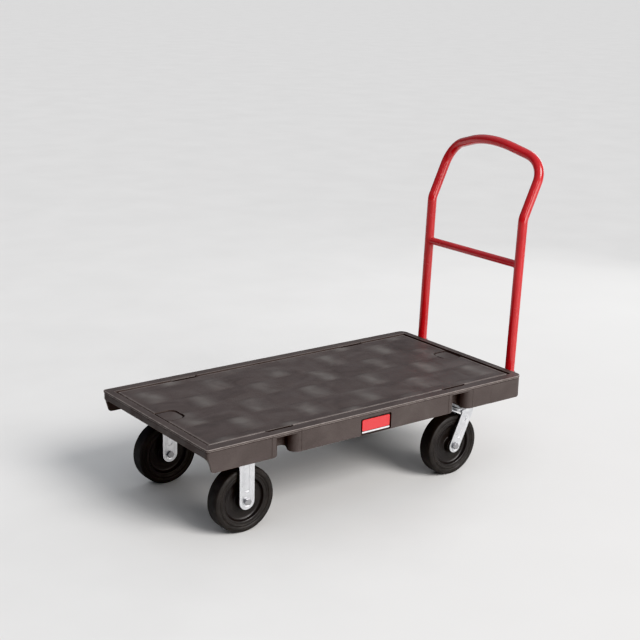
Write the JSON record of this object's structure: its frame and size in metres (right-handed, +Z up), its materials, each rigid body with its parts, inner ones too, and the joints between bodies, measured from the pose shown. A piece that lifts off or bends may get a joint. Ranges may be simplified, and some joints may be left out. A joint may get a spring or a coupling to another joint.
{
  "type": "platform cart",
  "caption": "Flat moulded platform cart with side skirts and rope notches, rigid front casters, swivel rear casters and a bent-tube push handle that lifts out of sockets.",
  "frame": {"origin": "on the floor under the middle of the cart's whole footprint, 64 mm behind the deck's own middle", "axes": "+X towards the handle end, +Z up, +Y to the right of a person who pushes the handle"},
  "size_m": [1.3464, 0.61, 1.055],
  "materials": {
    "deck_resin": "textured structural foam",
    "label_red": "gloss",
    "handle_paint": "gloss powder coat",
    "black_plastic": "matte",
    "plain_steel": "satin",
    "brass": "turned",
    "tyre_rubber": "moulded",
    "wheel_core": "moulded",
    "bolt_steel": "zinc plated",
    "zinc_plate": "bright zinc plated"
  },
  "bodies": {
    "chassis": {"deck": "deck_resin", "label_plate": "label_red", "left_stiffener": "plain_steel", "right_stiffener": "plain_steel", "stiffener_screws": "bolt_steel", "bolt_inserts": "brass", "left_socket": "plain_steel", "right_socket": "plain_steel", "socket_bolts": "bolt_steel", "socket_nuts": "bolt_steel", "handle_stop_bolts": "bolt_steel", "front_left_fork": "zinc_plate", "front_left_mount_bolts": "bolt_steel", "front_left_axle_bolt": "bolt_steel", "front_left_axle_nut": "bolt_steel", "front_left_axle_sleeve": "bolt_steel", "front_right_fork": "zinc_plate", "front_right_mount_bolts": "bolt_steel", "front_right_axle_bolt": "bolt_steel", "front_right_axle_nut": "bolt_steel", "front_right_axle_sleeve": "bolt_steel", "rear_left_top_plate": "zinc_plate", "rear_left_kingpin": "bolt_steel", "rear_left_kingpin_nut": "bolt_steel", "rear_left_mount_bolts": "bolt_steel", "rear_right_top_plate": "zinc_plate", "rear_right_kingpin": "bolt_steel", "rear_right_kingpin_nut": "bolt_steel", "rear_right_mount_bolts": "bolt_steel"},
    "handle": {"handle_tube": "handle_paint", "handle_crossbar": "handle_paint", "handle_end_plugs": "black_plastic"},
    "front_left_wheel": {"front_left_bearing": "brass", "front_left_hub": "wheel_core", "front_left_tyre": "tyre_rubber"},
    "rear_left_caster": {"rear_left_swivel_balls": "bolt_steel", "rear_left_fork": "zinc_plate", "rear_left_axle_bolt": "bolt_steel", "rear_left_axle_nut": "bolt_steel", "rear_left_axle_sleeve": "bolt_steel"},
    "rear_left_wheel": {"rear_left_bearing": "brass", "rear_left_hub": "wheel_core", "rear_left_tyre": "tyre_rubber"},
    "front_right_wheel": {"front_right_bearing": "brass", "front_right_hub": "wheel_core", "front_right_tyre": "tyre_rubber"},
    "rear_right_caster": {"rear_right_swivel_balls": "bolt_steel", "rear_right_fork": "zinc_plate", "rear_right_axle_bolt": "bolt_steel", "rear_right_axle_nut": "bolt_steel", "rear_right_axle_sleeve": "bolt_steel"},
    "rear_right_wheel": {"rear_right_bearing": "brass", "rear_right_hub": "wheel_core", "rear_right_tyre": "tyre_rubber"}
  },
  "joints": [
    {"name": "handle_lift", "type": "slide", "parent": "chassis", "child": "handle", "axis": [0.0323, 0, 0.9995], "range_m": [0, 0.16]},
    {"name": "front_left_wheel_spin", "type": "hinge", "parent": "chassis", "child": "front_left_wheel", "pos_m": [-0.505, -0.218, 0.1016], "axis": [0, 1, 0], "continuous": true},
    {"name": "front_right_wheel_spin", "type": "hinge", "parent": "chassis", "child": "front_right_wheel", "pos_m": [-0.505, 0.218, 0.1016], "axis": [0, 1, 0], "continuous": true},
    {"name": "rear_left_swivel", "type": "hinge", "parent": "chassis", "child": "rear_left_caster", "pos_m": [0.352, -0.226, 0.223], "axis": [0, 0, 1], "continuous": true},
    {"name": "rear_left_wheel_spin", "type": "hinge", "parent": "rear_left_caster", "child": "rear_left_wheel", "pos_m": [0.298, -0.226, 0.1016], "axis": [0, 1, 0], "continuous": true},
    {"name": "rear_right_swivel", "type": "hinge", "parent": "chassis", "child": "rear_right_caster", "pos_m": [0.352, 0.226, 0.223], "axis": [0, 0, 1], "continuous": true},
    {"name": "rear_right_wheel_spin", "type": "hinge", "parent": "rear_right_caster", "child": "rear_right_wheel", "pos_m": [0.298, 0.226, 0.1016], "axis": [0, 1, 0], "continuous": true}
  ]
}
